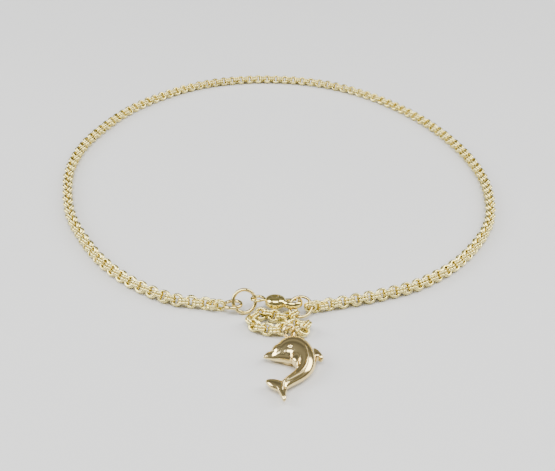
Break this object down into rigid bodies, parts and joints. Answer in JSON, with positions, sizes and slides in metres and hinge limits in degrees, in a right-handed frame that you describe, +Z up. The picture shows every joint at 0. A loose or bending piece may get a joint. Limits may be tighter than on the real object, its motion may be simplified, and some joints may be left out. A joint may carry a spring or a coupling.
{
  "type": "chain anklet",
  "caption": "Fine double-cable chain anklet, closed by a lobster clasp, with a short extension chain and a dolphin charm.",
  "frame": {"origin": "middle of the anklet's footprint, on the surface that it lies on", "axes": "+Z up from the surface, +Y from the clasp and charm at the front to the back of the loop, +X to the right seen from the charm"},
  "size_m": [0.076, 0.1036, 0.0031],
  "materials": {
    "chain_gold": "polished fine chain",
    "ring_gold": "polished wire",
    "clasp_gold": "mirror polished",
    "charm_gold": "mirror polished"
  },
  "bodies": {
    "anklet": {"main_chain": "chain_gold", "extension_chain": "chain_gold", "end_ring": "ring_gold", "clasp_ring": "ring_gold", "extension_ring": "ring_gold", "charm_ring": "ring_gold", "clasp_body": "clasp_gold", "dolphin_charm": "charm_gold"},
    "lever": {"clasp_lever": "clasp_gold"}
  },
  "joints": [
    {"name": "lever_hinge", "type": "hinge", "parent": "anklet", "child": "lever", "pos_m": [0.00092, -0.03308, 0.00143], "axis": [0, -0.2419, -0.9703], "range_deg": [0, 8], "stiffness_Nm_per_rad": 0.0002}
  ]
}
